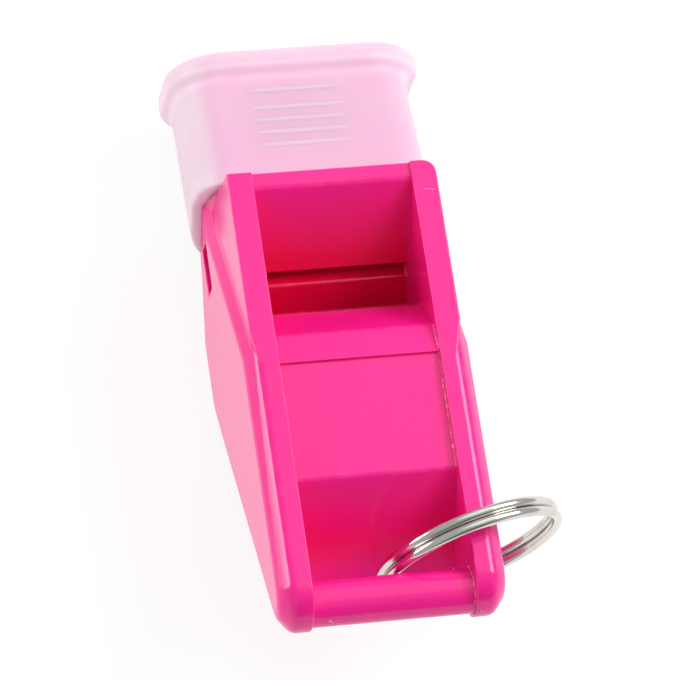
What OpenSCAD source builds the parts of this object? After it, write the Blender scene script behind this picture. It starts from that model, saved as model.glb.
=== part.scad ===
// Pealess sports whistle with a soft mouth grip and a split ring.
// +X points to the mouth, +Y to the left and +Z up. The origin lies on the
// middle plane, on the surface under the middle of the flat keel.
// Stations along the whistle are measured forward from a line just behind the
// tail, and heights upward from the keel.

/* [Overall] */
// Station of the lip of the mouth grip
mouth_x = 57.2; // [56:0.1:60]
// Width over the outer faces of the side covers
body_w = 20; // [19:0.1:22]
// Height from the keel to the top of the side rails
body_h = 19.7; // [19:0.1:21]

/* [Body outline] */
// Station of the top of the slanting front face
front_x = 42.5; // [42.2:0.1:42.8]
// Station of the front face where it stands out furthest
brow_x = 44.2; // [43.8:0.1:44.4]
// Height at which it does
brow_z = 8.9; // [8.5:0.1:9.3]
// Station of the centre of the round tail end
tail_x = 4.45; // [4.3:0.05:4.6]
// Radius of the round tail end
tail_r = 3.4; // [3.2:0.1:3.6]
// Station where the long underside slope meets the keel
keel_rear_x = 28.3; // [27:0.1:29]
// Station where the keel turns up to the chin
keel_front_x = 34.5; // [34:0.1:35]
// Station of the chin under the front face
chin_x = 39.6; // [39:0.1:40]
// Height of the chin
chin_z = 3.7; // [3.4:0.1:4]
// Station of the front face at its foot
foot_x = 41.3; // [41:0.1:41.6]
// Height of the foot of the front face
foot_z = 4.2; // [4:0.1:4.4]
// Radius of the outer front corner of the right rail
corner_r = 1.2; // [0.8:0.1:1.6]

/* [Side covers] */
// Width of the core between the two covers
core_w = 14.2; // [13.8:0.1:14.6]
// Half width at the outer edge of the rear rail
rail_y = 8.8; // [8.6:0.1:9]
// Half width of the set-back wall beside the window
wall_y = 9.35; // [9.2:0.05:9.5]
// Drop of the bevel from the rail to the outer face
bevel_drop = 1.5; // [1.2:0.1:1.8]
// Station where the rear bevel ends
bevel_end_x = 24.7; // [24.2:0.1:25]
// Station where the diagonal ledge starts under it
ledge_top_x = 25; // [24.5:0.1:25.2]
// Station where the diagonal ledge reaches its lowest point
ledge_foot_x = 41; // [40.5:0.1:41.5]
// Height of the lowest point of the diagonal ledge
ledge_foot_z = 8.9; // [8.5:0.1:9.2]

/* [Lanyard bar] */
// Radius of the bar across the tail
bar_r = 2; // [1.9:0.05:2.05]
// Station of the bar
bar_x = 3.28; // [3.2:0.02:3.3]
// Height of the bar
bar_z = 16.4; // [16.3:0.05:16.5]

/* [Top window] */
// Distance of the core's roof below the rails
roof_drop = 0.4; // [0.3:0.05:0.5]
// Station of the top of the window's front wall
window_front_x = 40.9; // [40.5:0.1:41.2]
// Station of the lip where the upper air slit comes out
lip_x = 35.3; // [35:0.1:35.6]
// Height of the lip
lip_z = 13.3; // [13:0.1:13.6]
// Station of the sounding edge
edge_x = 30.9; // [30.6:0.1:31.2]
// Height of the sounding edge
edge_z = 14.3; // [14:0.1:14.6]
// Station of the crease above the sounding edge
crease_x = 27.3; // [27:0.1:27.6]
// Height of the crease above the sounding edge
crease_z = 18.5; // [18.3:0.1:18.7]

/* [Roof and rear wall] */
// Station of the small step in the roof
step_x = 24.45; // [24.1:0.05:24.7]
// Height of the small step
step_h = 0.35; // [0.2:0.05:0.5]
// Station of the roof's rear edge
roof_rear_x = 13.8; // [13.5:0.1:14.1]
// Height of the roof's rear edge
roof_rear_z = 18.7; // [18.5:0.1:18.9]
// Station of the foot of the rear wall
toe_x = 7.4; // [7.3:0.05:7.6]

/* [Chambers] */
// Wall thickness of the core
wall = 1.3; // [1.1:0.1:1.5]
// Height of the floor of the upper chamber
divider_z = 10.2; // [9.8:0.1:10.6]
// Thickness of that floor
divider_t = 1.2; // [1:0.1:1.4]
// Thickness of the web between the two lower chambers
web_t = 1.4; // [1.2:0.1:2]
// Station of the front wall of the lower chambers
lower_front_x = 40.8; // [40.5:0.1:41]

/* [Air slits] */
// Width of the upper air slit
slit_w = 13.2; // [12.4:0.1:13.6]
// Height of the upper slit where it comes out
slit_h = 1.1; // [0.9:0.1:1.3]
// Height of the upper slit's floor at the mouth
slit_mouth_z = 8.2; // [8:0.1:8.4]
// Height of the upper slit at the mouth
slit_mouth_h = 1.4; // [1.2:0.1:1.6]
// Width of each lower air slit
side_slit_w = 1.2; // [1:0.1:1.4]
// Height of each lower air slit
side_slit_h = 2.2; // [2:0.1:2.4]
// Height of the lower slits' floor
side_slit_z = 5.7; // [5.6:0.1:5.8]

/* [Side windows] */
// Length of the opening in each side cover
side_window_l = 2.6; // [2.4:0.1:3]
// Length of the ramp behind the opening
side_ramp_l = 1.8; // [1.4:0.1:3]
// Half width at the sounding edge of the ramp
side_edge_y = 8; // [7.8:0.1:8.3]

/* [Mouthpiece] */
// Half width of the mouthpiece under the grip
mouth_y = 8.8; // [8.6:0.1:8.9]
// Height of its underside at the front face
mouth_low_z = 4.8; // [4.7:0.1:4.9]
// Height of its underside at the lip
mouth_tip_low_z = 3.4; // [3.3:0.1:3.6]
// Height of its top at the front face
mouth_rear_z = 14.7; // [14.5:0.1:14.9]
// Height of its top at the lip
mouth_tip_z = 10.9; // [10.8:0.1:11.1]
// Corner radius of the mouthpiece
mouth_r = 2; // [1.8:0.1:2.2]

/* [Mouth grip] */
// Wall of the grip's sleeve
grip_t = 1.7; // [1.6:0.05:1.8]
// Play between the grip and the mouthpiece
grip_play = 0.06; // [0.04:0.01:0.1]
// Thickness of the flange at the lip
flange_t = 2; // [1.8:0.1:2.4]
// Reach of the flange beyond the sleeve
flange_reach = 1.5; // [1.2:0.1:1.5]
// Number of grip ribs on the top and on the underside
rib_count = 5; // [3:1:6]
// Length of a grip rib
rib_l = 9.6; // [8:0.1:11]
// Side offset of the middle of the ribs
rib_y = 1; // [0:0.1:1.5]
// Distance between two grip ribs
rib_pitch = 1.37; // [1.3:0.01:1.45]
// Radius of a grip rib
rib_r = 0.28; // [0.22:0.02:0.34]

/* [Split ring] */
// Outer radius of the ring
ring_r = 8.5; // [8.4:0.05:8.6]
// Diameter of the ring's wire
wire_d = 0.74; // [0.7:0.01:0.75]
// Distance between the two turns
turn_pitch = 1.15; // [1.15:0.01:1.18]
// Part of a turn, in degrees, over which the wire changes layer
change_span = 40; // [30:1:60]
// Station, side and height of the ring's centre
ring_at = [8.15, -8.26, 13.47];
// Direction of the ring's axis
ring_axis = [1, 0.243, 0.011];

/* [Hidden] */

body_pink = [0.99, 0.24, 0.58];
grip_white = [0.97, 0.86, 0.92];
steel = [0.75, 0.74, 0.72];

round_fn = 64;
hull_fn = 24;
layer_t = 0.05;

half_w = body_w / 2;
half_core = core_w / 2;
cover_t = half_w - half_core;
roof_z = body_h - roof_drop;
tail_z = body_h - tail_r;
keel_mid_x = (keel_rear_x + keel_front_x) / 2;
keel_round_r = 3;
keel_front_round_r = 2;
bevel_in = half_w - rail_y;
mouth_tip_x = mouth_x - 0.2;

// Angle and point at which the underside slope leaves the round tail
tail_to_keel = [keel_rear_x - tail_x, -tail_z];
tail_leave_a = atan2(tail_to_keel.y, tail_to_keel.x) - acos(tail_r / norm(tail_to_keel));
tail_leave = [tail_x + tail_r * cos(tail_leave_a), tail_z + tail_r * sin(tail_leave_a)];
under_slope = tail_leave.y / (tail_leave.x - keel_rear_x);
function under_z(x) = under_slope * (x - keel_rear_x);

// Points of an arc that rounds the corner p between its neighbours a and b
function unit(v) = v / norm(v);
function round_corner(a, p, b, r, steps = 6) =
    let (u = unit(a - p), v = unit(b - p),
         half = acos(u * v) / 2,
         centre = p + unit(u + v) * r / sin(half),
         s = p + u * r / tan(half) - centre,
         e = p + v * r / tan(half) - centre,
         a0 = atan2(s.y, s.x),
         turn = (atan2(e.y, e.x) - a0 + 540) % 360 - 180)
    [for (i = [0 : steps]) centre + r * [cos(a0 + turn * i / steps), sin(a0 + turn * i / steps)]];

keel_rear = [keel_rear_x, 0];
keel_front = [keel_front_x, 0];
chin = [chin_x, chin_z];
foot = [foot_x, foot_z];
front_low = [brow_x, brow_z];
front_top = [front_x, body_h];
underside = concat(
    round_corner(tail_leave, keel_rear, keel_front, keel_round_r),
    round_corner(keel_rear, keel_front, chin, keel_front_round_r),
    [chin, foot]);

tail_centre = [tail_x, tail_z];
tail_top = [tail_x, body_h];
front_lean = (brow_x - front_x) / (body_h - brow_z);
function front_at(z) = front_x + front_lean * (body_h - z);

// Stands the whistle over the origin
module seat() translate([-keel_mid_x, 0, 0]) children();

// Extrudes a side view across the whistle, from y0 to y1
module across(y0, y1) translate([0, y1, 0]) rotate([90, 0, 0]) linear_extrude(y1 - y0) children();

// Extrudes a profile of [y, outward distance] along the rim line from p0 to p1,
// whose outside is on its left
module along(p0, p1, lap) {
    run = unit(p1 - p0);
    multmatrix([[0, -run.y, run.x, p0.x], [1, 0, 0, 0], [0, run.x, run.y, p0.y]])
        translate([0, 0, -lap]) linear_extrude(norm(p1 - p0) + 2 * lap) children();
}

// Profile that cuts off everything outside the line from a on the rim to b
module outside(a, b) {
    slope = unit(b - a) / 2;
    polygon([a - slope, b + slope, [b.x + slope.x, a.y - slope.y]]);
}

// Round tail end of a cover, bevelled all round
module tail_end() translate([tail_x, 0, tail_z]) rotate([-90, 0, 0])
    rotate_extrude($fn = round_fn) polygon([
        [0, half_core], [tail_r, half_core], [tail_r, rail_y], [tail_r - bevel_drop, half_w], [0, half_w]]);

// Bevel of the rear rail, ending in a slanted jog
bevel_jog = 2.5;
module rail_bevel() intersection() {
    along(tail_top, [bevel_end_x + bevel_jog, body_h], 0.5) outside([rail_y, 0], [half_w, -bevel_drop]);
    translate([0, 0, body_h / 2]) linear_extrude(body_h) polygon([
        [-1, 0], [bevel_end_x, rail_y - 0.02], [bevel_end_x + bevel_jog, wall_y],
        [bevel_end_x + bevel_jog, body_w], [-1, body_w]]);
}

// Bevel under the tail, running out along the underside
under_out = unit(tail_leave - tail_centre);
module under_bevel() {
    start = [tail_leave.x, rail_y, tail_leave.y];
    inner = [tail_leave.x - under_out.x * bevel_drop, half_w, tail_leave.y - under_out.y * bevel_drop];
    run = unit([bevel_end_x, half_w, under_z(bevel_end_x)] - start);
    out = unit(cross(inner - start, run));
    side = cross(out, run);
    intersection() {
        multmatrix([for (i = [0 : 2]) [run[i], side[i], out[i], start[i]]])
            translate([-5, -body_w, 0]) cube([body_w * 3, body_w * 2, 5]);
        across(rail_y - 0.5, half_w + 1) polygon([
            tail_centre - [1, 0], tail_leave + under_out - [1, 0], [keel_rear_x, -1], [keel_rear_x, tail_z]]);
    }
}

// Space behind the plane in which the set-back wall flares out at its front end
flare_at = [[43.5, 13.4], [43.07, 10.8]];
module flare() {
    top = [flare_at[0].x, wall_y, flare_at[0].y];
    down = unit([flare_at[1].x, wall_y, flare_at[1].y] - top);
    out = unit(cross([brow_x, half_w, brow_z + 0.5] - top, down));
    ahead = cross(out, down);
    multmatrix([for (i = [0 : 2]) [down[i], ahead[i], out[i], top[i]]])
        translate([-body_w * 2, -body_w * 2, 0]) cube([body_w * 4, body_w * 4, body_w * 2]);
}

// Space beside the set-back wall, above the diagonal ledge
ledge_top = [ledge_top_x, body_h - bevel_drop];
ledge_foot = [ledge_foot_x, ledge_foot_z];
ledge_rise = 1.4;
module set_back() {
    beside = [[half_w + 1, -ledge_rise / (half_w - wall_y)], [wall_y, ledge_rise],
              [wall_y, body_h], [half_w + 1, body_h]];
    intersection() {
        along(ledge_foot, ledge_top, body_w) mirror([0, 1]) polygon(beside);
        along([brow_x, ledge_foot_z], ledge_foot, body_w * 2) mirror([0, 1]) polygon(beside);
        across(rail_y, body_w) polygon([[bevel_end_x, 0], [bevel_end_x, body_w * 2],
                                        [body_w * 3, body_w * 2], [body_w * 3, 0]]);
        flare();
    }
}

// Opening of a lower chamber, its air slit and its ramp, cut from a left cover
side_slit_in = 0.2;
side_window_rear = lower_front_x + 0.4 - side_window_l;
module side_window() {
    z = side_slit_z;
    translate([side_window_rear, half_core - 1, z]) cube([side_window_l, cover_t + 2, side_slit_h]);
    translate([lower_front_x, half_core - 1, z]) cube([front_x, side_slit_w - side_slit_in + 1, side_slit_h]);
    translate([0, 0, z]) linear_extrude(side_slit_h) polygon([
        [side_window_rear + 0.2, side_edge_y - 0.05], [side_window_rear - side_ramp_l, half_w],
        [side_window_rear - side_ramp_l, half_w + 1], [side_window_rear + 0.2, half_w + 1]]);
}

// A left cover without the bar
module cover() {
    tail_end();
    difference() {
        across(half_core, half_w)
            polygon(concat([tail_top, tail_centre, tail_leave], underside, [front_low, front_top]));
        rail_bevel();
        under_bevel();
        set_back();
        side_window();
    }
}

// Cuts the outer front corner of the rail round, down the slant of the front face
module corner_cut() {
    arc = round_corner([0, wall_y], [front_x, wall_y], [front_x, 0], corner_r);
    multmatrix([[1, 0, -front_lean, front_lean * body_h], [0, 1, 0, 0], [0, 0, 1, 0]])
        translate([0, 0, flare_at[0].y]) linear_extrude(body_h)
        polygon(concat(arc, [[front_x + 1, arc[len(arc) - 1].y], [front_x + 1, wall_y + 1],
                             [arc[0].x, wall_y + 1]]));
}

spigot_l = 0.6;
module bar(r, y0, y1) translate([bar_x, y1, bar_z]) rotate([90, 0, 0])
    cylinder(r = r, h = y1 - y0, $fn = round_fn);

module left_cover() color(body_pink) seat() {
    cover();
    bar(bar_r, -half_core - spigot_l, half_core + 1);
}

module right_cover() color(body_pink) seat() difference() {
    mirror([0, 1, 0]) difference() {
        cover();
        corner_cut();
    }
    bar(bar_r + 0.03, -half_core - spigot_l - 0.05, 0);
}

// Section of the mouthpiece or of the grip, a rounded rectangle at one station
module section(x, half_y, low, high, r) {
    for (y = [-half_y + r, half_y - r], z = [low + r, high - r])
        translate([x, y, z]) rotate([0, 90, 0]) cylinder(r = r, h = layer_t, $fn = hull_fn);
}

// The tapering mouthpiece, grown by g for the grip's bore and outside
mouth_fall = (mouth_rear_z - mouth_tip_z) / (mouth_tip_x - front_x);
mouth_drop = (mouth_low_z - mouth_tip_low_z) / (mouth_tip_x - front_x);
function mouth_top(x) = mouth_tip_z + mouth_fall * (mouth_tip_x - x);
function mouth_low(x) = mouth_tip_low_z + mouth_drop * (mouth_tip_x - x);
module mouth_loft(x0, x1, g) {
    hull() for (x = [x0, x1 - layer_t])
        section(x, mouth_y + g, mouth_low(x) - g, mouth_top(x) + g, mouth_r + g);
}

// Side view of everything behind the body's front face, g in front of it
module body_space(g) polygon([[0, -1], [foot_x - 0.6 + g, -1], foot + [g, 0], front_low + [g, 0],
                              [front_x + g, body_h], [front_x + g, body_h * 2], [0, body_h * 2]]);

module core_outline() polygon(concat(
    [[toe_x, under_z(toe_x)]], underside,
    [front_low, [front_at(roof_z), roof_z], [window_front_x + 0.3, roof_z], [window_front_x, roof_z - 0.2],
     [lip_x, lip_z], [edge_x, edge_z], [crease_x, crease_z], [step_x, roof_z],
     [step_x, roof_z - step_h], [roof_rear_x, roof_rear_z]]));

// Inner faces of the rear wall and of the underside
rear_run = unit([toe_x, under_z(toe_x)] - [roof_rear_x, roof_rear_z]);
rear_inner = [roof_rear_x, roof_rear_z] + [-rear_run.y, rear_run.x] * wall;
under_run = unit([1, under_slope]);
under_in = [-under_run.y, under_run.x] * wall;
function under_inner(z) = let (p = keel_rear + under_in) [p.x + (z - p.y) / under_slope, z];
heel_run = cross(keel_rear + under_in - rear_inner, under_run) / cross(rear_run, under_run);
heel = rear_inner + rear_run * heel_run;
slit_rear_x = lip_x - 0.7;
slit_floor_z = lip_z - slit_h;

edge_land = 0.15;
module upper_chamber() polygon([
    [edge_x, edge_z - edge_land], [crease_x - 0.4, edge_z + 1.1],
    [crease_x - 1, roof_z - step_h - wall - 0.4],
    rear_inner + rear_run * wall / 2, heel, under_inner(divider_z),
    [slit_rear_x - 1.2, divider_z], [slit_rear_x, slit_floor_z], [lip_x + edge_land, slit_roof_z(lip_x)],
    [lip_x + edge_land, edge_z + 1], [edge_x, edge_z + 1]]);

module lower_chamber() polygon([
    under_inner(divider_z - divider_t), under_inner(wall), [keel_front_x - 0.4, wall],
    [chin_x - 0.3, chin_z + wall + 0.1], [lower_front_x, foot_z + wall],
    [lower_front_x, divider_z - divider_t]]);

slit_fall = (lip_z - slit_mouth_z - slit_mouth_h) / (mouth_x - lip_x);
slit_floor_fall = (slit_floor_z - slit_mouth_z) / (mouth_x - slit_rear_x);
function slit_roof_z(x) = lip_z - slit_fall * (x - lip_x);
function slit_base_z(x) = slit_floor_z - slit_floor_fall * (x - slit_rear_x);
module upper_slit() polygon([
    [slit_rear_x - 1, slit_base_z(slit_rear_x - 1)], [slit_rear_x - 1, slit_roof_z(slit_rear_x - 1)],
    [mouth_x, slit_roof_z(mouth_x)], [mouth_x, slit_base_z(mouth_x)]]);

module whistle_core() color(body_pink) seat() difference() {
    union() {
        across(-half_core, half_core) core_outline();
        difference() {
            mouth_loft(foot_x - 0.8, mouth_tip_x, 0);
            for (y = [-body_w, half_core]) across(y, y + body_w - half_core) body_space(0);
        }
    }
    across(-half_core - 1, half_core + 1) upper_chamber();
    across(-slit_w / 2, slit_w / 2) upper_slit();
    for (side = [-1, 1]) {
        low = side > 0 ? web_t / 2 : -half_core - 1;
        across(low, low + half_core + 1 - web_t / 2) lower_chamber();
        slit_y = side * (half_core - side_slit_in + side_slit_w / 2) - side_slit_w / 2;
        translate([lower_front_x - 0.5, slit_y, side_slit_z]) cube([mouth_x, side_slit_w, side_slit_h]);
    }
}

// Fine ribs across the top and the underside of the grip
rib_start_x = 46.9;
rib_sink = 0.07;
front_rib_gap = 0.6;
module grip_ribs() {
    for (i = [0 : rib_count - 1]) {
        x = rib_start_x + i * rib_pitch + (i == rib_count - 1 ? front_rib_gap : 0);
        for (z = [mouth_top(x) + grip_t - rib_sink, mouth_low(x) - grip_t + rib_sink])
            translate([x, rib_y + rib_l / 2, z]) rotate([90, 0, 0])
                cylinder(r = rib_r, h = rib_l, $fn = 10);
    }
}

flange_layers = [[flange_t, 0.4], [flange_t * 0.65, flange_reach], [flange_t * 0.3, flange_reach],
                 [layer_t, 0.6]];
flange_mid_x = mouth_x - flange_t / 2;
module mouth_grip() color(grip_white) seat() difference() {
    union() {
        mouth_loft(foot_x - 0.5, mouth_x - flange_t + 0.2, grip_t);
        grip_ribs();
        hull() for (layer = flange_layers) let (g = grip_t + layer[1])
            section(mouth_x - layer[0], mouth_y + g, mouth_low(flange_mid_x) - g,
                    mouth_top(flange_mid_x) + g, mouth_r + g);
    }
    across(-body_w, body_w) body_space(grip_play);
    mouth_loft(foot_x - 2, mouth_x + 1, grip_play);
}

// The ring's wire makes two turns and changes layer once, between its ends
turn_steps = 40;
wire_sides = 8;
wire_r = wire_d / 2;
ring_mid_r = ring_r - wire_r;
end_gap_a = 4;
wire_a0 = change_span / 2 + end_gap_a;
wire_a1 = 720 - change_span / 2 - end_gap_a;
function layer_at(a) = let (t = max(0, min(1, (a - 360 + change_span / 2) / change_span)))
    (t * t * (3 - 2 * t) - 0.5) * turn_pitch;
function wire_point(a) = [ring_mid_r * cos(a), ring_mid_r * sin(a), layer_at(a)];
wire_steps = turn_steps * 2;
wire_path = [for (i = [0 : wire_steps]) wire_point(wire_a0 + (wire_a1 - wire_a0) * i / wire_steps)];

// Least distance between the two turns of the wire, surface to surface
turn_gap = min([for (i = [0 : wire_steps], j = [0 : wire_steps])
    if (j - i > turn_steps / 2) norm(wire_path[i] - wire_path[j])]) - wire_d;
echo(turn_gap = turn_gap);

module wire_tube() {
    rings = [for (p = wire_path) let (out = unit([p.x, p.y, 0]))
        for (k = [0 : wire_sides - 1])
            p + wire_r * (out * cos(360 * k / wire_sides) + [0, 0, 1] * sin(360 * k / wire_sides))];
    sides = [for (i = [0 : wire_steps - 1], k = [0 : wire_sides - 1])
        let (a = i * wire_sides + k, b = i * wire_sides + (k + 1) % wire_sides)
        each [[a, b, b + wire_sides], [a, b + wire_sides, a + wire_sides]]];
    last = wire_steps * wire_sides;
    caps = [for (k = [1 : wire_sides - 2]) each [[0, k + 1, k], [last, last + k, last + k + 1]]];
    polyhedron(rings, concat(sides, caps));
}

module split_ring() color(steel) seat() translate(ring_at)
    rotate([0, 0, atan2(ring_axis.y, ring_axis.x)])
    rotate([0, 90 - asin(ring_axis.z / norm(ring_axis)), 0])
    wire_tube();

whistle_core();
left_cover();
right_cover();
mouth_grip();
split_ring();
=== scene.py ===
import math

import bmesh
import bpy
from mathutils import Matrix, Vector


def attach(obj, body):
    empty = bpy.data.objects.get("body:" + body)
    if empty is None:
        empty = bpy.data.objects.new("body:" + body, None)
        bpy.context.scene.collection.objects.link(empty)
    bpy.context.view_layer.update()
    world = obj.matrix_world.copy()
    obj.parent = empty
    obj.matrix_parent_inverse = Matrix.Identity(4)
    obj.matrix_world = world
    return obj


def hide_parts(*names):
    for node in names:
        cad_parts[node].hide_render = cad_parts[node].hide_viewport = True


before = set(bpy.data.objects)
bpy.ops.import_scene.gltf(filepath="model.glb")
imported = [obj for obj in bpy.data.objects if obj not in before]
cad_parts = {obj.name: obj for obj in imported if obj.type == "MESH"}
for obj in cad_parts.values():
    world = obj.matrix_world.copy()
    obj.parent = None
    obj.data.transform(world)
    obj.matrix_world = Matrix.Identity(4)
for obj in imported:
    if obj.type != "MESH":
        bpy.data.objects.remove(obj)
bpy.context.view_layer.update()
mm = 0.001
keelMid = 31.4  # Station of the frame's origin
scene = bpy.context.scene


def at(station, side, height):
    # Stations run forward from the tail end, and all three are in millimetres
    return Vector((station - keelMid, side, height)) * mm


def partPlace(point):
    # Station, side and height of a point of the frame, in millimetres
    return point / mm + Vector((keelMid, 0, 0))


def between(value, span):
    return span[0] < value < span[1]


# A socket of a node tree, with arithmetic that adds the nodes for it
class Flow:
    def __init__(self, tree, socket):
        self.tree = tree
        self.socket = socket

    def math(self, kind, *others):
        return build(self.tree, "ShaderNodeMath", {"operation": kind}, dict(enumerate((self,) + others)))

    def __add__(self, other):
        return self.math("ADD", other)

    def __radd__(self, other):
        return self + other

    def __sub__(self, other):
        return self.math("SUBTRACT", other)

    def __rsub__(self, other):
        return self * -1 + other

    def __mul__(self, other):
        return self.math("MULTIPLY", other)

    def __rmul__(self, other):
        return self * other

    def __truediv__(self, other):
        return self.math("DIVIDE", other)

    def __rtruediv__(self, other):
        return self.math("POWER", -1) * other

    def __pow__(self, other):
        return self.math("POWER", other)

    def __abs__(self):
        return self.math("ABSOLUTE")

    def ramp(self, low, high, smooth=True):
        # Goes from 0 to 1 as the value goes from low to high
        return build(self.tree, "ShaderNodeMapRange",
                     {"interpolation_type": "SMOOTHSTEP" if smooth else "LINEAR"},
                     {"Value": self, "From Min": low, "From Max": high})

    def along(self, direction):
        # Length of a vector socket along one direction
        return build(self.tree, "ShaderNodeVectorMath", {"operation": "DOT_PRODUCT"},
                     {0: self, 1: direction}, "Value")


def plug(tree, socket, value):
    if isinstance(value, Flow):
        tree.links.new(value.socket, socket)
    else:
        socket.default_value = value


def build(tree, kind, settings=None, inputs=None, out=0):
    node = tree.nodes.new(kind)
    for key, value in (settings or {}).items():
        setattr(node, key, value)
    for key, value in (inputs or {}).items():
        plug(tree, node.inputs[key], value)
    return Flow(tree, node.outputs[out])


def startMaterial(name):
    material = bpy.data.materials.new(name)
    material.use_nodes = True
    material.node_tree.nodes.clear()
    return material, material.node_tree


def endMaterial(tree, shader):
    plug(tree, tree.nodes.new("ShaderNodeOutputMaterial").inputs["Surface"], shader)


def mixColour(tree, factor, first, second):
    return build(tree, "ShaderNodeMix", {"data_type": "RGBA"}, {0: factor, 6: first, 7: second}, 2)


def linear(red, green, blue):
    # A screen colour of 0 to 255 as the light that a shader takes
    return tuple((c / 255 / 12.92 if c < 10.3 else ((c / 255 + 0.055) / 1.055) ** 2.4)
                 for c in (red, green, blue)) + (1,)


# Lengths in millimetres; back holds the two level parts of the direction back to the camera
cameraSet = {"back": (-0.362, 0.186), "roll": 0.079, "distance": 422, "aim": (-3.4, 0, 19.7),
             "offset": (1.2516, -1.947), "lens": 257.03}


def makeCamera(s):
    bx, by = s["back"]
    back = Vector((bx, by, math.sqrt(1 - bx * bx - by * by)))
    side = (by * back - Vector((0, 1, 0))) / math.sqrt(1 - by * by)
    lift = back.cross(side)
    right = side * math.cos(s["roll"]) - lift * math.sin(s["roll"])
    up = side * math.sin(s["roll"]) + lift * math.cos(s["roll"])
    place = Vector(s["aim"]) + back * s["distance"] - right * s["offset"][0] + up * s["offset"][1]
    data = bpy.data.cameras.new("camera")
    data.lens = s["lens"]
    camera = bpy.data.objects.new("camera", data)
    camera.matrix_world = Matrix.LocRotScale(place * mm, Matrix((right, up, back)).transposed(), None)
    scene.collection.objects.link(camera)
    scene.camera = camera


makeCamera(cameraSet)
print("camera placed")

floorSet = {"size": 3, "albedo": 0.9, "seen": 0.8, "white": 1.08}


def makeFloor(s):
    # White paper, which shows whiter to the camera and in reflections than it lights the object
    mesh = bpy.data.meshes.new("floor")
    half = s["size"] / 2
    mesh.from_pydata([(-half, -half, 0), (half, -half, 0), (half, half, 0), (-half, half, 0)],
                     [], [(0, 1, 2, 3)])
    floor = bpy.data.objects.new("floor", mesh)
    scene.collection.objects.link(floor)
    material, tree = startMaterial("floorPaper")
    paper = build(tree, "ShaderNodeBsdfDiffuse", None, {"Color": (s["albedo"],) * 3 + (1,)})
    path = tree.nodes.new("ShaderNodeLightPath")
    seen = (Flow(tree, path.outputs["Is Camera Ray"]) + Flow(tree, path.outputs["Is Glossy Ray"])
            + Flow(tree, path.outputs["Is Transmission Ray"]))
    glow = build(tree, "ShaderNodeEmission", None, {"Strength": s["white"]})
    endMaterial(tree, build(tree, "ShaderNodeMixShader", None, {0: seen * s["seen"], 1: paper, 2: glow}))
    mesh.materials.append(material)


tentSet = {"level": 0.5, "dim": 0.16, "dimSide": (-0.93, -0.15, 0.34), "dimRange": (0.76, 0.96),
           "bright": 1.15, "brightSide": (0.36, -0.19, 0.91), "brightRange": (0.78, 0.94)}


def makeTent(s):
    # A pale tent with a dim side and a bright patch overhead
    world = bpy.data.worlds.new("studio")
    world.use_nodes = True
    tree = world.node_tree
    tree.nodes.clear()
    ray = build(tree, "ShaderNodeTexCoord", None, None, "Generated")
    dim = ray.along(s["dimSide"]).ramp(*s["dimRange"])
    bright = ray.along(s["brightSide"]).ramp(*s["brightRange"])
    level = s["level"] - dim * (s["level"] - s["dim"]) + bright * (s["bright"] - s["level"])
    sky = build(tree, "ShaderNodeBackground", None, {"Color": (1, 1, 1, 1), "Strength": level})
    plug(tree, tree.nodes.new("ShaderNodeOutputWorld").inputs["Surface"], sky)
    scene.world = world


# Places and sizes in metres, power in watts
lamps = [
    {"name": "topLamp", "from": (0.14, -0.58, 0.68), "size": 0.46, "power": 4.9},
    {"name": "sideLamp", "from": (0.32, 0.78, 0.1), "size": 0.4, "power": 3.6},
]


def makeLamp(s):
    # A square lamp that looks at the origin
    data = bpy.data.lights.new(s["name"], "AREA")
    data.size = s["size"]
    data.energy = s["power"]
    lamp = bpy.data.objects.new(s["name"], data)
    lamp.location = s["from"]
    lamp.rotation_euler = Vector(s["from"]).to_track_quat("Z", "Y").to_euler()
    scene.collection.objects.link(lamp)


makeFloor(floorSet)
makeTent(tentSet)
for lampSet in lamps:
    makeLamp(lampSet)
scene.view_settings.view_transform = "Standard"
print("stage and lamps made")


def noise(tree, place, scale, detail=2.0):
    return build(tree, "ShaderNodeTexNoise", None, {"Vector": place, "Scale": scale, "Detail": detail})


def objectPlace(tree):
    return build(tree, "ShaderNodeTexCoord", None, None, "Object")


def bumpFrom(tree, relief, distance):
    return build(tree, "ShaderNodeBump", None, {"Strength": 1.0, "Distance": distance, "Height": relief})


def roughFrom(mask, s):
    return mask * (s["roughHigh"] - s["roughLow"]) + s["roughLow"]


# Noise scales are per metre and heights of relief in metres; places on the part are in millimetres
plasticSet = {
    "base": (251, 28, 145), "recessShade": (226, 4, 62), "wornSheen": (255, 104, 178), "ior": 1.5,
    "mottleScale": 160, "mottleRange": (0.35, 0.65), "mottle": 0.015,
    "chipScale": 900, "chipRange": (0.38, 0.68), "wearSheen": 0.08, "chipRough": 0.05,
    "scratchStretch": (60, 2600, 2600), "scratchTurn": (0.2, 0.3, 0.5), "scratchWidth": 0.012,
    "scratchHeight": 0.000002, "scratchRough": 0.1, "patchScale": 90, "patchRange": (0.5, 0.62),
    "hazeScale": 800, "hazeRange": (0.3, 0.7), "roughLow": 0.14, "roughHigh": 0.19,
    "peelScale": 700, "peelHeight": 0.000001,
    "rails": (6.7, 7.15), "top": 19.3, "bottom": 14.0, "soft": 2.2,
    # The window and gap entries bound the painted recess shade
    "window": {"start": 31.0, "full": 31.5, "fade": 41.3, "end": 41.8, "low": 8.2},
    "gap": {"start": 5.6, "full": 6.5, "fade": 13.1, "end": 13.7, "low": 11.2}, "gapShare": 0.6,
}


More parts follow.
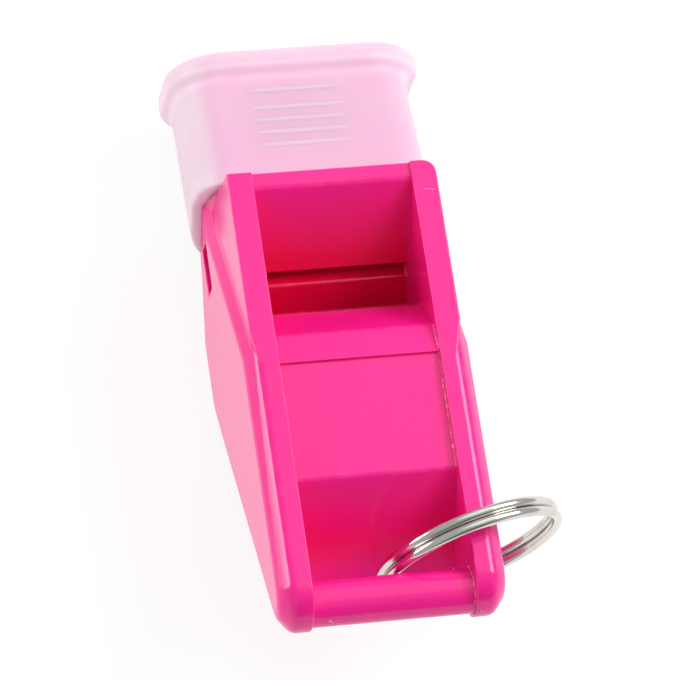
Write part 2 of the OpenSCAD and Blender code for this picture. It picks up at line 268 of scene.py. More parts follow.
def makePlastic(s):
    material, tree = startMaterial("hotPinkPlastic")
    place = objectPlace(tree)
    mottle = noise(tree, place, s["mottleScale"]).ramp(*s["mottleRange"])
    # Pale chips on the rounded edges are partly wear and partly a painted highlight that lightens the edges
    wornSheen = build(tree, "ShaderNodeAttribute", {"attribute_name": "edgeWearSheen"}, None, "Fac")
    chipsAndSheen = wornSheen * noise(tree, place, s["chipScale"], detail=4.0).ramp(*s["chipRange"])
    # Thin lines where a stretched noise crosses its middle, in patches
    stretched = build(tree, "ShaderNodeMapping", None,
                      {"Vector": place, "Rotation": s["scratchTurn"], "Scale": s["scratchStretch"]})
    line = 1 - abs(noise(tree, stretched, 1.0, detail=1.0) - 0.5).ramp(0.0, s["scratchWidth"])
    scratch = line * noise(tree, place, s["patchScale"]).ramp(*s["patchRange"])
    # Painted shade: the base colour turns a darker red inside the window and the tail gap, more so lower
    # down, standing in for the shade and red bounce light in those hollows
    along = place.along((1, 0, 0)) / mm + keelMid
    height = place.along((0, 0, 1)) / mm
    inside = 1 - abs(place.along((0, 1, 0)) / mm).ramp(*s["rails"])
    down = (height * -1).ramp(-s["top"], -s["bottom"], False)

    def hollow(start, full, fade, end, low):
        return along.ramp(start, full) * (1 - along.ramp(fade, end)) * height.ramp(low, low + s["soft"])

    recessShade = inside * down * (hollow(**s["window"]) + hollow(**s["gap"]) * s["gapShare"])
    base = mixColour(tree, recessShade, linear(*s["base"]), linear(*s["recessShade"]))
    base = mixColour(tree, mottle * s["mottle"], base, linear(*s["wornSheen"]))
    base = mixColour(tree, chipsAndSheen * s["wearSheen"], base, linear(*s["wornSheen"]))
    haze = noise(tree, place, s["hazeScale"], detail=3.0).ramp(*s["hazeRange"])
    rough = roughFrom(haze, s) + chipsAndSheen * s["chipRough"] + scratch * s["scratchRough"]
    peel = noise(tree, place, s["peelScale"], detail=3.0) * (s["peelHeight"] / s["scratchHeight"])
    endMaterial(tree, build(tree, "ShaderNodeBsdfPrincipled", None, {
        "Base Color": base, "Roughness": rough, "IOR": s["ior"],
        "Normal": bumpFrom(tree, peel - scratch, s["scratchHeight"])}))
    return material


# As above; the depth of the scatter is in metres
milkSet = {
    "pink": (248, 196, 224), "white": (255, 222, 236), "alpha": 0.84, "ior": 1.42,
    "backing": (8.5, 10.1), "lip": (54.4, 55.4), "lipTint": 0.4, "cloudScale": 220, "cloud": 0.12,
    "hazeScale": 500, "range": (0.3, 0.7), "roughLow": 0.34, "roughHigh": 0.5,
    "grainScale": 900, "grainHeight": 0.000004,
    "scatter": 0.5, "scatterColours": (1, 0.7, 0.85), "scatterDepth": 0.002,
    # The glow is painted light, an emission that lifts the shade at the rim and the rear end
    "glow": (0.11, 0.1, 0.11, 1), "glowRise": (53.8, 54.6), "glowFade": (55.5, 56.0),
    "rear": (43.6, 46.0), "rearSide": (9.0, 10.4), "rearShare": 0.7,
}
# The ribs' paler pink is a painted highlight along their ridges
ribMilkSet = {**milkSet, "pink": (255, 214, 234)}


def makeMilk(name, s):
    # Milky, and thin enough to take up the pink of the mouthpiece behind it
    material, tree = startMaterial(name)
    place = objectPlace(tree)
    across = abs(place.along((0, 1, 0)) / mm)
    along = place.along((1, 0, 0)) / mm + keelMid
    backed = 1 - across.ramp(*s["backing"])
    behind = (1 - along.ramp(*s["lip"])) * (1 - s["lipTint"]) + s["lipTint"]
    cloud = noise(tree, place, s["cloudScale"], detail=3.0).ramp(*s["range"])
    tint = backed * behind * (cloud * s["cloud"] + (1 - s["cloud"]))
    base = mixColour(tree, tint, linear(*s["white"]), linear(*s["pink"]))
    # Painted light: an emission glow where the thick rim meets the sleeve, and at the sides of the rear
    # end, lifts the shade that falls in those creases
    rim = along.ramp(*s["glowRise"]) * (1 - along.ramp(*s["glowFade"]))
    rear = (1 - along.ramp(*s["rear"])) * across.ramp(*s["rearSide"])
    light = mixColour(tree, rim + rear * s["rearShare"], (0, 0, 0, 1), s["glow"])
    haze = noise(tree, place, s["hazeScale"], detail=3.0).ramp(*s["range"])
    grain = noise(tree, place, s["grainScale"], detail=3.0)
    endMaterial(tree, build(tree, "ShaderNodeBsdfPrincipled", None, {
        "Base Color": base, "Roughness": roughFrom(haze, s), "IOR": s["ior"], "Alpha": s["alpha"],
        "Normal": bumpFrom(tree, grain, s["grainHeight"]),
        "Emission Color": light, "Emission Strength": 1.0,
        "Subsurface Weight": s["scatter"], "Subsurface Radius": s["scatterColours"],
        "Subsurface Scale": s["scatterDepth"]}))
    return material


nickelSet = {"base": (0.72, 0.70, 0.66, 1), "dull": (0.55, 0.53, 0.49, 1), "dullScale": 420,
             "dullRange": (0.45, 0.75), "dullShare": 0.5, "roughLow": 0.1, "roughHigh": 0.22,
             "drawScale": 1800, "drawHeight": 0.000003}


def makeNickel(s):
    material, tree = startMaterial("brightNickel")
    place = objectPlace(tree)
    dull = noise(tree, place, s["dullScale"], detail=4.0).ramp(*s["dullRange"])
    drawn = noise(tree, place, s["drawScale"])
    endMaterial(tree, build(tree, "ShaderNodeBsdfPrincipled", None, {
        "Base Color": mixColour(tree, dull * s["dullShare"], s["base"], s["dull"]), "Metallic": 1.0,
        "Roughness": roughFrom(dull, s), "Normal": bumpFrom(tree, drawn, s["drawHeight"])}))
    return material


tornSet = {"base": (255, 128, 192), "pale": (255, 205, 228), "ior": 1.5, "grainScale": 2400,
           "grainRange": (0.35, 0.7), "roughLow": 0.42, "roughHigh": 0.62}


def makeTornPlastic(s):
    # Torn and whitened plastic squeezed out of a weld
    material, tree = startMaterial("weldPlastic")
    grain = noise(tree, objectPlace(tree), s["grainScale"], detail=3.0).ramp(*s["grainRange"])
    endMaterial(tree, build(tree, "ShaderNodeBsdfPrincipled", None, {
        "Base Color": mixColour(tree, grain, linear(*s["base"]), linear(*s["pale"])),
        "Roughness": roughFrom(grain, s), "IOR": s["ior"]}))
    return material


plastic = makePlastic(plasticSet)
milk = makeMilk("milkySilicone", milkSet)
ribMilk = makeMilk("milkyRibsPaintedSheen", ribMilkSet)
nickel = makeNickel(nickelSet)
tornPlastic = makeTornPlastic(tornSet)
print("materials made")


def finishPiece(name, mesh, material, body, replaced=()):
    piece = bpy.data.objects.new(name, mesh)
    scene.collection.objects.link(piece)
    mesh.materials.clear()
    mesh.materials.append(material)
    for face in mesh.polygons:
        face.material_index = 0
    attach(piece, body)
    if replaced:
        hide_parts(*replaced)
    print(name, len(mesh.polygons), "faces")


# Lengths in millimetres, areas in square millimetres and turns in degrees, then the edges' roundings
roundSet = {
    "merge": 0.001, "coverMerge": 0.04, "sliver": 0.002, "flat": 1.0, "slight": 2.0, "sharp": 22,
    "large": 4.5, "segments": 4,
    "fine": 0.04, "lip": 0.05, "inner": 0.1, "plain": 0.18, "core": 0.2, "rear": 0.32, "under": 0.35,
    "brow": 0.4, "outer": 0.5,
}
# Stations, sides and heights that tell the edges of the mouldings apart
edgePlaces = {
    "toe": 8, "roofStep": (24.0, 24.9), "roof": 18, "coreSide": 6.5, "slitLip": (30.8, 31.0),
    "soundingEdge": (35.2, 35.5), "lipLow": 12.8, "brow": 40,
    "inner": 7.4, "front": 42.2, "frontTop": 15, "tail": 25.2, "railSide": 8.6,
    "low": 9, "keelSide": 9.8, "keelFront": 37, "foot": 36,
}
# Corners of the core that move: the stations and heights between which they lie, and how far back
# they go, or the station and height that they go to. They are the foot of the rear wall, the window's
# front chamfer, the foot of the slope below the slit, and a sliver under the lip
cornerMoves = [
    {"stations": (0, 7.6), "heights": (0, 99), "back": 0.28},
    {"stations": (41.1, 41.3), "heights": (19.2, 99), "back": 0.11},
    {"stations": (33.3, 33.5), "heights": (10.1, 10.3), "back": 0.72},
    {"stations": (35.4, 35.44), "heights": (13.2, 13.3), "to": (35.45, 13.3)},
]
# The tail's round end in millimetres and degrees: its middle, its rim and its flat side, and how
# near a point has to be to lie on them
tailSet = {"x": 4.45, "z": 16.3, "rimRadius": 3.4, "rimSide": 8.8, "flatRadius": 1.9, "flatSide": 10.0,
           "near": 0.05, "onFlat": 0.01, "pastRim": 0.03, "turns": (89.5, 250), "spareTurn": 2}


def moveCorners(bm, moves):
    for vert in bm.verts:
        place = partPlace(vert.co)
        for move in moves:
            if not between(place.x, move["stations"]) or not between(place.z, move["heights"]):
                continue
            if "to" in move:
                vert.co = at(move["to"][0], place.y, move["to"][1])
            else:
                vert.co.x -= move["back"] * mm


def cleanTail(bm, sign, s):
    # Gives the cone round the tail's end one even face for each facet of its rim
    def turnOf(place):
        return math.degrees(math.atan2(place.z - s["z"], place.x - s["x"])) % 360

    def vertTurn(vert):
        return turnOf(partPlace(vert.co))

    def sideOf(vert):
        return partPlace(vert.co).y * sign

    def outline(radius, side):
        # Points at a radius and a side, in their order round the end
        found = []
        for vert in bm.verts:
            place = partPlace(vert.co)
            far = math.hypot(place.x - s["x"], place.z - s["z"])
            if (abs(far - radius) < s["near"] and abs(sideOf(vert) - side) < s["near"]
                    and between(vertTurn(vert), s["turns"])):
                found.append(vert)
        return sorted(found, key=vertTurn)

    rim = outline(s["rimRadius"], s["rimSide"])
    flat = outline(s["flatRadius"], s["flatSide"])
    flats = [face for face in bm.faces
             if all(abs(sideOf(vert) - s["flatSide"]) < s["onFlat"] for vert in face.verts)]
    side = max(flats, key=lambda face: face.calc_area())
    coneTurns = (vertTurn(rim[0]), vertTurn(rim[-1]) + s["spareTurn"])
    old = [side]
    for face in bm.faces:
        middle = partPlace(face.calc_center_median())
        if (face is not side and min(sideOf(vert) for vert in face.verts) > s["rimSide"] - s["pastRim"]
                and middle.x < s["x"] and between(turnOf(middle), coneTurns)):
            old.append(face)
    rim = rim[:-2]
    # The flat side's own arc gets a point for each point of the rim
    arc = [flat[0]]
    for vert in rim[1:-1]:
        turn = math.radians(vertTurn(vert))
        arc.append(bm.verts.new(at(s["x"] + s["flatRadius"] * math.cos(turn), sign * s["flatSide"],
                                   s["z"] + s["flatRadius"] * math.sin(turn))))
    arc.append(flat[-1])
    loop = list(side.verts)
    first, last = loop.index(flat[0]), loop.index(flat[-1])
    forward = [loop[(first + k) % len(loop)] for k in range((last - first) % len(loop) + 1)]
    back = [loop[(last + k) % len(loop)] for k in range((first - last) % len(loop) + 1)]
    ring = arc + back[1:-1] if all(vert in flat for vert in forward) else arc[::-1] + forward[1:-1]
    bmesh.ops.delete(bm, geom=old, context="FACES_ONLY")
    bm.faces.new(ring)
    for k in range(len(rim) - 1):
        bm.faces.new((rim[k], rim[k + 1], arc[k + 1], arc[k]))
    # Loose edges go, the last gaps close and loose points go
    bmesh.ops.delete(bm, geom=[edge for edge in bm.edges if not edge.link_faces], context="EDGES")
    bmesh.ops.holes_fill(bm, edges=[edge for edge in bm.edges if len(edge.link_faces) == 1], sides=0)
    bmesh.ops.delete(bm, geom=[vert for vert in bm.verts if not vert.link_faces], context="VERTS")
    bmesh.ops.recalc_face_normals(bm, faces=bm.faces)


def edgeSoftness(nodeName, first, second, s, places):
    # Rounding in millimetres of the edge between two points, given as station, side and height
    mid = (first + second) / 2
    side = abs(mid.y)
    if nodeName == "whistle_core":
        onStep = between(mid.x, places["roofStep"]) and mid.z > places["roof"]
        onLip = between(mid.x, places["slitLip"]) or between(mid.x, places["soundingEdge"])
        if mid.x < places["toe"] or onStep or side > places["coreSide"]:
            return s["fine"]
        if onLip and mid.z > places["lipLow"]:
            return s["lip"]
        if mid.z > places["roof"]:
            return s["brow"] if mid.x > places["brow"] else s["rear"]
        return s["core"]
    if side < places["inner"]:
        return s["inner"]
    if mid.x > places["front"] and mid.z < places["frontTop"]:
        return s["fine"]
    if mid.x < places["tail"] and min(abs(first.y), abs(second.y)) > places["railSide"]:
        return s["outer"]
    if mid.z < places["low"] and side > places["keelSide"] and mid.x < places["keelFront"]:
        return s["under"]
    return s["inner"] if mid.x > places["foot"] and mid.z < places["low"] else s["plain"]


def mergedNode(nodeName, s):
    # The node's loose triangles, merged into whole faces, with the corners that move
    core = nodeName == "whistle_core"
    bm = bmesh.new()
    bm.from_mesh(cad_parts[nodeName].data)
    bmesh.ops.remove_doubles(bm, verts=bm.verts, dist=(s["merge"] if core else s["coverMerge"]) * mm)
    if core:
        moveCorners(bm, cornerMoves)
        bmesh.ops.dissolve_degenerate(bm, dist=s["sliver"] * mm, edges=bm.edges)
    bmesh.ops.dissolve_limit(bm, angle_limit=math.radians(s["flat"]), verts=bm.verts, edges=bm.edges)
    if not core:
        cleanTail(bm, 1 if nodeName == "left_cover" else -1, tailSet)
    return bm


def markEdges(bm, nodeName, s):
    # Sharp edges get a rounding, and a slight turn between two large faces stays crisp
    weight = bm.edges.layers.float.new("bevel_weight_edge")
    for edge in bm.edges:
        turn = math.degrees(edge.calc_face_angle())
        big = min(face.calc_area() for face in edge.link_faces) > s["large"] * mm * mm
        edge.smooth = not (big and s["slight"] < turn <= s["sharp"])
        if turn > s["sharp"]:
            first, second = [partPlace(vert.co) for vert in edge.verts]
            edge[weight] = edgeSoftness(nodeName, first, second, s, edgePlaces) / s["outer"]


def markWearSheen(mesh):
    # Points in the middle of a rounded edge carry the wear and the painted edge highlight, and points of a
    # plain face don't
    wearSheen = [1.0] * len(mesh.vertices)
    for face in mesh.polygons:
        if face.material_index == 0:
            for vert in face.vertices:
                wearSheen[vert] = 0.0
    mesh.attributes.new("edgeWearSheen", "FLOAT", "POINT").data.foreach_set("value", wearSheen)


def roundedNode(nodeName, pieceName, s):
    bm = mergedNode(nodeName, s)
    markEdges(bm, nodeName, s)
    mesh = bpy.data.meshes.new(pieceName)
    bm.to_mesh(mesh)
    bm.free()
    for face in mesh.polygons:
        face.use_smooth = True
    # Faces that the rounding adds take the second slot
    mesh.materials.append(plastic)
    mesh.materials.append(plastic)
    rough = bpy.data.objects.new(pieceName + "Rough", mesh)
    scene.collection.objects.link(rough)
    bevel = rough.modifiers.new("edges", "BEVEL")
    bevel.width = s["outer"] * mm
    bevel.segments = s["segments"]
    bevel.material = 1
    bevel.limit_method = "WEIGHT"
    bevel.use_clamp_overlap = False
    level = rough.modifiers.new("level", "WEIGHTED_NORMAL")
    level.keep_sharp = True
    graph = bpy.context.evaluated_depsgraph_get()
    rounded = bpy.data.meshes.new_from_object(rough.evaluated_get(graph), depsgraph=graph)
    bpy.data.objects.remove(rough)
    markWearSheen(rounded)
    return rounded


for nodeName, pieceName in (("whistle_core", "coreMoulding"), ("left_cover", "leftCoverMoulding"),
                            ("right_cover", "rightCoverMoulding")):
    finishPiece(pieceName, roundedNode(nodeName, pieceName, roundSet), plastic, "whistle",
                [nodeName])
print("mouldings rounded")

# Millimetres: face, brow and foot are corners of the body's slanting front, as station and height
gripSet = {
    "face": (42.5, 19.7), "brow": (44.2, 8.9), "foot": (41.3, 4.2), "footSlope": 0.12, "tip": 57.0,
    "lowFace": 4.8, "lowTip": 3.4, "topFace": 14.7, "topTip": 10.9, "halfWidth": 8.8, "corner": 2.0,
    "play": 0.06, "wall": 1.7, "sleeveHalf": 10.5, "sleeveShift": 0.5, "sleeveCorner": 3.7,
    "flangeHalf": 11.7, "flangeShift": 0.28, "flangeLow": 0.12, "flangeTop": 14.0, "flangeCorner": 5.2,
    "leastCorner": 0.3, "boreBack": 0.15, "boreMouth": 0.2, "arc": 10, "side": 8, "slantedLoops": 4,
}
# Station, share of the way from sleeve to flange, and inset of each outer loop from the rear to the lip
gripLoops = [
    (43.0, 0, 0.3), (43.1, 0, 0.12), (43.3, 0, 0.02), (43.8, 0, 0), (46, 0, 0), (49, 0, 0), (52, 0, 0),
    (53.0, 0.01, 0), (53.8, 0.05, 0), (54.3, 0.12, 0), (54.65, 0.23, 0), (54.9, 0.38, 0), (55.08, 0.56, 0),
    (55.22, 0.74, 0), (55.38, 0.88, 0), (55.58, 0.97, 0), (55.85, 1, 0), (56.3, 1, 0), (56.7, 1, 0.05),
    (56.95, 1, 0.17), (57.1, 1, 0.36), (57.18, 1, 0.62), (57.2, 1, 0.9),
]
# Station and play of each loop of the bore, from the lip to the rear
boreLoops = [(57.2, 0.9), (57.17, 0.5), (57.08, 0.22), (56.9, 0.08), (56.5, 0.06), (52, 0.06), (48, 0.06)]


def roundedLoop(shift, half, low, top, corner, s):
    # Points of a rounded rectangle as side and height, counted round from the lower right corner
    loop = []
    for sideY, sideZ, start in ((-1, -1, 180), (1, -1, 270), (1, 1, 0), (-1, 1, 90)):
        cy = shift + sideY * (half - corner)
        cz = (low + corner) if sideZ < 0 else (top - corner)
        for i in range(s["arc"] + 1):
            turn = math.radians(start + 90 * i / s["arc"])
            loop.append((cy + corner * math.cos(turn), cz + corner * math.sin(turn)))
    full = []
    for i, point in enumerate(loop):
        full.append(point)
        after = loop[(i + 1) % len(loop)]
        if (i + 1) % (s["arc"] + 1) == 0:
            # A straight side gets points of its own
            full += [(point[0] + (after[0] - point[0]) * k / s["side"],
                      point[1] + (after[1] - point[1]) * k / s["side"]) for k in range(1, s["side"])]
    return full


def gripRows(s):
    # Loops of points as station, side and height, from the rear over the lip and back through the bore
    span = s["tip"] - s["face"][0]

    def mouthTop(x):
        return s["topTip"] + (s["topFace"] - s["topTip"]) / span * (s["tip"] - x)

    def mouthLow(x):
        return s["lowTip"] + (s["lowFace"] - s["lowTip"]) / span * (s["tip"] - x)

    def rearX(z):
        # Station of the body's front face at a height
        (fx, fz), (bx, bz), (ox, oz) = s["face"], s["brow"], s["foot"]
        if z > bz:
            return fx + (bx - fx) / (fz - bz) * (fz - z) + s["play"]
        if z > oz:
            return ox + (bx - ox) / (bz - oz) * (z - oz) + s["play"]
        return ox + s["play"] - (oz - z) * s["footSlope"]

    def outerLoop(x, share, inset):
        def blend(sleeve, flange):
            return sleeve + (flange - sleeve) * share

        corner = blend(s["sleeveCorner"], s["flangeCorner"]) - inset
        return roundedLoop(blend(s["sleeveShift"], s["flangeShift"]),
                           blend(s["sleeveHalf"], s["flangeHalf"]) - inset,
                           blend(mouthLow(x) - s["wall"], s["flangeLow"]) + inset,
                           blend(mouthTop(x) + s["wall"], s["flangeTop"]) - inset,
                           max(corner, s["leastCorner"]), s)

    def boreLoop(x, play):
        return roundedLoop(0, s["halfWidth"] + play, mouthLow(x) - play, mouthTop(x) + play,
                           s["corner"] + play, s)

    def slanted(loopAt, ahead, *sizes):
        # A loop whose points lie on the slanting front face of the body, or ahead of it
        row = []
        for i, (y, z) in enumerate(loopAt(rearX(s["brow"][1]), *sizes)):
            x = rearX(z) + ahead
            row.append((x,) + loopAt(x, *sizes)[i])
        return row

    rows = []
    for k, (x, share, inset) in enumerate(gripLoops):
        if k < s["slantedLoops"]:
            rows.append(slanted(outerLoop, x - gripLoops[0][0], share, inset))
        else:
            rows.append([(x, y, z) for y, z in outerLoop(x, share, inset)])
    for x, play in boreLoops:
        rows.append([(x, y, z) for y, z in boreLoop(x, play)])
    rows.append(slanted(boreLoop, s["boreBack"], s["play"]))
    rows.append(slanted(boreLoop, 0, s["boreMouth"]))
    return rows


def makeGripSkin(s):
    rows = gripRows(s)
    count = len(rows[0])
    faces = []
    for r in range(len(rows)):
        nextRow = (r + 1) % len(rows)
        for i in range(count):
            j = (i + 1) % count
            faces.append((r * count + i, r * count + j, nextRow * count + j, nextRow * count + i))
    mesh = bpy.data.meshes.new("gripSkin")
    mesh.from_pydata([tuple(at(*point)) for row in rows for point in row], [], faces)
    bm = bmesh.new()
    bm.from_mesh(mesh)
    bmesh.ops.recalc_face_normals(bm, faces=bm.faces)
    bm.to_mesh(mesh)
    bm.free()
    for face in mesh.polygons:
        face.use_smooth = True
    return mesh


finishPiece("gripSkin", makeGripSkin(gripSet), milk, "grip", ["mouth_grip"])
print("grip skin lofted")


def startTree(name, sockets):
    # A tree and its named inputs, given as label, kind and value
    tree = bpy.data.node_groups.new(name, "GeometryNodeTree")
    for label, kind, value in sockets:
        socket = tree.interface.new_socket(name=label, in_out="INPUT", socket_type="NodeSocket" + kind)
        if value is not None:
            socket.default_value = value
    tree.interface.new_socket(name="Geometry", in_out="OUTPUT", socket_type="NodeSocketGeometry")
    group = tree.nodes.new("NodeGroupInput")
    return tree, {label: Flow(tree, group.outputs[label]) for label, kind, value in sockets}


def endTree(tree, shape, material):
    shape = build(tree, "GeometryNodeRealizeInstances", None, {"Geometry": shape})
    shape = build(tree, "GeometryNodeSetShadeSmooth", None, {"Geometry": shape})
    shape = build(tree, "GeometryNodeSetMaterial", None, {"Geometry": shape, "Material": material})
    plug(tree, tree.nodes.new("NodeGroupOutput").inputs["Geometry"], shape)


def growMesh(name, tree, values, base=None):
    # Runs a tree and gives back what it made as a plain mesh
    host = bpy.data.objects.new(name + "Host", base or bpy.data.meshes.new(name + "Host"))
    scene.collection.objects.link(host)
    modifier = host.modifiers.new("grow", "NODES")
    modifier.node_group = tree
    for item in tree.interface.items_tree:
        if item.item_type == "SOCKET" and item.in_out == "INPUT" and item.name in values:
            modifier[item.identifier] = values[item.name]
    graph = bpy.context.evaluated_depsgraph_get()
    mesh = bpy.data.meshes.new_from_object(host.evaluated_get(graph), depsgraph=graph)
    bpy.data.objects.remove(host)
    return mesh


def vector(tree, x=0.0, y=0.0, z=0.0):
    return build(tree, "ShaderNodeCombineXYZ", None, {"X": x, "Y": y, "Z": z})


def circle(tree, sides, radius):
    return build(tree, "GeometryNodeCurvePrimitiveCircle", None, {"Resolution": sides, "Radius": radius})


# Millimetres; the front rib stands apart from the others by the front gap
ribSet = {"count": 5, "start": 46.9, "pitch": 1.37, "frontGap": 0.6, "length": 9.6, "side": 1.0,
          "radius": 0.42, "sink": 0.33, "steps": 40, "sides": 14, "bluntness": 8, "point": 0.001}


def makeRibs(s, grip):
    tree, made = startTree("gripRibs", [
        ("Count", "Int", s["count"]), ("Pitch", "Float", 0.0), ("FrontGap", "Float", 0.0),
        ("Length", "Float", 0.0), ("Radius", "Float", 0.0), ("TopPlace", "Vector", (0, 0, 0)),
        ("TopFall", "Float", 0.0), ("LowPlace", "Vector", (0, 0, 0)), ("LowFall", "Float", 0.0)])
    half = made["Length"] / 2
    line = build(tree, "GeometryNodeCurvePrimitiveLine", None,
                 {"Start": vector(tree, y=half * -1), "End": vector(tree, y=half)})
    line = build(tree, "GeometryNodeResampleCurve", None, {"Curve": line, "Count": s["steps"]})
    share = build(tree, "GeometryNodeSplineParameter", None, None, "Factor")
    # A rib keeps its thickness along its length and runs out in blunt round ends
    taper = (1 - abs(share * 2 - 1) ** s["bluntness"]) ** 0.5
    rib = build(tree, "GeometryNodeCurveToMesh", None, {
        "Curve": line, "Profile Curve": circle(tree, s["sides"], 1.0),
        "Scale": taper * made["Radius"] + s["point"] * mm, "Fill Caps": True})
    join = tree.nodes.new("GeometryNodeJoinGeometry")
    for place, fall in (("TopPlace", "TopFall"), ("LowPlace", "LowFall")):
        run = build(tree, "GeometryNodeMeshLine", None, {
            "Count": made["Count"], "Start Location": made[place],
            "Offset": vector(tree, x=made["Pitch"], z=made["Pitch"] * made[fall])})
        # Only the last rib of a row has an index over the count less one and a half
        front = build(tree, "GeometryNodeInputIndex").math("GREATER_THAN", made["Count"] - 1.5)
        gap = front * made["FrontGap"]
        run = build(tree, "GeometryNodeSetPosition", None,
                    {"Geometry": run, "Offset": vector(tree, x=gap, z=gap * made[fall])})
        row = build(tree, "GeometryNodeInstanceOnPoints", None, {"Points": run, "Instance": rib})
        tree.links.new(row.socket, join.inputs[0])
    endTree(tree, Flow(tree, join.outputs[0]), ribMilk)
    # Both rows lie on the sleeve, whose top and underside fall towards the lip
    span = grip["tip"] - grip["face"][0]
    topFall = (grip["topTip"] - grip["topFace"]) / span
    lowFall = (grip["lowTip"] - grip["lowFace"]) / span
    ahead = s["start"] - grip["face"][0]
    top = grip["topFace"] + topFall * ahead + grip["wall"] - s["sink"]
    low = grip["lowFace"] + lowFall * ahead - grip["wall"] + s["sink"]
    return growMesh("gripRibs", tree, {
        "Count": s["count"], "Pitch": s["pitch"] * mm, "FrontGap": s["frontGap"] * mm,
        "Length": s["length"] * mm, "Radius": s["radius"] * mm,
        "TopPlace": at(s["start"], s["side"], top), "TopFall": topFall,
        "LowPlace": at(s["start"], s["side"], low), "LowFall": lowFall})


finishPiece("gripRibs", makeRibs(ribSet, gripSet), ribMilk, "grip")
print("ribs laid on the grip")

# Millimetres and degrees; the wire steps over by one pitch within the change
coilSet = {"centre": (8.15, -8.26, 13.47), "axis": (1, 0.243, 0.011), "outer": 8.48, "wire": 0.9,
           "pitch": 0.91, "change": 40, "endGap": 4, "steps": 400, "sides": 20}


def makeCoil(s):
    tree, made = startTree("splitCoil", [
        ("Radius", "Float", 0.0), ("Wire", "Float", 0.0), ("Pitch", "Float", 0.0), ("Change", "Float", 0.0),
        ("EndGap", "Float", 0.0), ("Steps", "Int", s["steps"]), ("Sides", "Int", s["sides"]),
        ("Place", "Vector", (0, 0, 0)), ("Turn", "Vector", (0, 0, 0))])
    line = build(tree, "GeometryNodeCurvePrimitiveLine")
    line = build(tree, "GeometryNodeResampleCurve", None, {"Curve": line, "Count": made["Steps"]})
    share = build(tree, "GeometryNodeSplineParameter", None, None, "Factor")
    # Two turns less a gap at the ends, with the step from one to the other at the middle of the wire
    start = made["Change"] / 2 + made["EndGap"]
    angle = start + share * (4 * math.pi - start * 2)
    layer = ((angle - 2 * math.pi + made["Change"] / 2) / made["Change"]).ramp(0.0, 1.0) - 0.5
    spot = vector(tree, angle.math("COSINE") * made["Radius"], angle.math("SINE") * made["Radius"],
                  layer * made["Pitch"])
    line = build(tree, "GeometryNodeSetPosition", None, {"Geometry": line, "Position": spot})
    tube = build(tree, "GeometryNodeCurveToMesh", None, {
        "Curve": line, "Profile Curve": circle(tree, made["Sides"], made["Wire"] / 2), "Fill Caps": True})
    placed = build(tree, "GeometryNodeTransform", None,
                   {"Geometry": tube, "Translation": made["Place"], "Rotation": made["Turn"]})
    endTree(tree, placed, nickel)
    axis = Vector(s["axis"]).normalized()
    lean = math.radians(90) - math.asin(axis.z)
    return growMesh("splitCoil", tree, {
        "Radius": (s["outer"] - s["wire"] / 2) * mm, "Wire": s["wire"] * mm, "Pitch": s["pitch"] * mm,
        "Change": math.radians(s["change"]), "EndGap": math.radians(s["endGap"]), "Steps": s["steps"],
        "Sides": s["sides"], "Place": at(*s["centre"]),
        "Turn": Vector((0, lean, math.atan2(axis.y, axis.x)))})


finishPiece("splitCoil", makeCoil(coilSet), nickel, "ring", ["split_ring"])
print("ring coiled")

# Millimetres, apart from the noise's scale and places; lumps is the noise at which the bead swells
flashSet = {"rate": 0.12, "wire": 0.028, "rough": 0.075, "stray": 0.11, "sides": 7, "lumps": (0.45, 0.75),
            "grain": 2600.0, "seed": 3.7, "strayPlaces": (0, 5, 9), "lumpPlace": 14}
barSeam = {"middle": (3.28, 16.4), "side": -7.04, "radius": 2.02, "turns": range(20, 262, 8)}


def seamRound(s):
    # Points round an end of the bar
    x, z = s["middle"]
    points = []
    for degrees in s["turns"]:
        turn = math.radians(degrees)
        points.append((x + s["radius"] * math.cos(turn), s["side"], z + s["radius"] * math.sin(turn)))
    return points


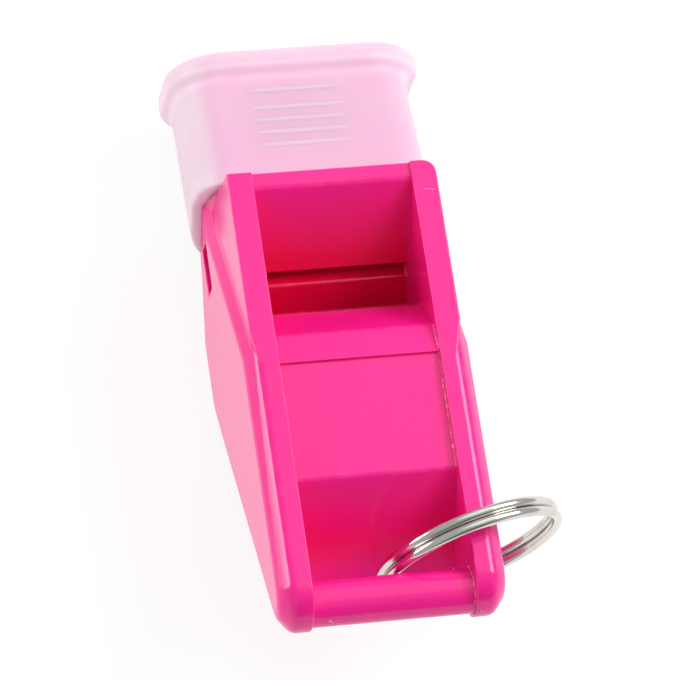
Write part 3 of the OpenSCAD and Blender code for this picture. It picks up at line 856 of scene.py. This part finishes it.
# Corners of the seams as station, side and height: the right rail, round the bar's right end,
# three short strokes by the bar and the tail, and a faint line on the right rail
flashSeams = [
    [(27.2, -7.06, 18.56), (24.6, -7.06, 19.32), (24.4, -7.06, 18.98), (13.9, -7.06, 18.73)],
    seamRound(barSeam),
    [(1.18, -7.45, 17.2), (1.13, -7.8, 16.95)],
    [(1.45, 5.7, 17.2), (1.33, 5.35, 16.9)],
    [(1.29, 4.95, 16.7), (1.27, 4.65, 16.6)],
    [(39.65, -8.0, 19.69), (39.57, -9.0, 19.69)],
]


def makeFlash(s, seams):
    tree, made = startTree("weldFlash", [
        ("Seams", "Geometry", None), ("Rate", "Float", 0.0), ("Wire", "Float", 0.0),
        ("Rough", "Float", 0.0), ("Stray", "Float", 0.0), ("Grain", "Float", 0.0), ("Seed", "Float", 0.0)])
    seam = build(tree, "GeometryNodeMeshToCurve", None, {"Mesh": made["Seams"]})
    seam = build(tree, "GeometryNodeResampleCurve", {"mode": "LENGTH"},
                 {"Curve": seam, "Length": made["Rate"]})
    place = build(tree, "GeometryNodeInputPosition")

    def ragged(shift):
        return build(tree, "ShaderNodeTexNoise", {"noise_dimensions": "4D"},
                     {"Vector": place, "W": made["Seed"] + shift, "Scale": made["Grain"]})

    stray = vector(tree, *((ragged(shift) - 0.5) * made["Stray"] for shift in s["strayPlaces"]))
    size = made["Wire"] + ragged(s["lumpPlace"]).ramp(*s["lumps"]) * made["Rough"]
    seam = build(tree, "GeometryNodeSetPosition", None, {"Geometry": seam, "Offset": stray})
    bead = build(tree, "GeometryNodeCurveToMesh", None, {
        "Curve": seam, "Profile Curve": circle(tree, s["sides"], 1.0), "Scale": size, "Fill Caps": True})
    endTree(tree, bead, tornPlastic)
    points, edges = [], []
    for corners in seams:
        edges += [(len(points) + k, len(points) + k + 1) for k in range(len(corners) - 1)]
        points += [tuple(at(*corner)) for corner in corners]
    base = bpy.data.meshes.new("weldSeams")
    base.from_pydata(points, edges, [])
    return growMesh("weldFlash", tree, {
        "Rate": s["rate"] * mm, "Wire": s["wire"] * mm, "Rough": s["rough"] * mm,
        "Stray": s["stray"] * mm, "Grain": s["grain"], "Seed": s["seed"]}, base)


finishPiece("weldFlash", makeFlash(flashSet, flashSeams), tornPlastic, "whistle")
print("weld flash laid")
